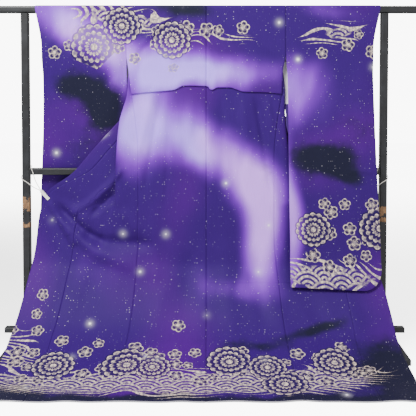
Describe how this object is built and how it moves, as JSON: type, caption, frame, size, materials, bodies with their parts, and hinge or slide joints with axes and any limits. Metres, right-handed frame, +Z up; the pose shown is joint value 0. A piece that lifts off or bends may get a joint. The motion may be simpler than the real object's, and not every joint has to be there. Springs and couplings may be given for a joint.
{
  "type": "furisode on a kimono stand",
  "caption": "Long-sleeved formal kimono hung by its sleeves over a low wooden stand, back to the front, fronts drawn out by clips.",
  "frame": {"origin": "middle of the bounding box on the floor", "axes": "+Z up, +X to the right as the back of the garment is seen, -Y towards the viewer, where the hem runs out on the floor"},
  "size_m": [1.76, 0.9, 1.2961],
  "materials": {
    "silk": "dyed silk crepe with a soft satin sheen, violet shading to lavender and blue-black, with silver-cream line motifs",
    "lacquer": "worn black lacquer over wood, with bare tan patches on the posts",
    "clip": "plain white plastic",
    "string": "thin white cotton string"
  },
  "bodies": {
    "root": {"top_rail": "lacquer", "mid_rail": "lacquer", "post_left": "lacquer", "post_right": "lacquer", "foot_left": "lacquer", "foot_right": "lacquer", "tie_rail": "lacquer", "clip_left": "clip", "clip_right": "clip", "string_left": "string", "string_right": "string", "back_left": "silk", "back_right": "silk", "front_left": "silk", "front_right": "silk", "okumi_left": "silk", "okumi_right": "silk", "collar_left": "silk", "collar_right": "silk", "collar_neck": "silk", "sleeve_left_back": "silk", "sleeve_left_front": "silk", "sleeve_right_back": "silk", "sleeve_right_front": "silk"}
  },
  "joints": []
}
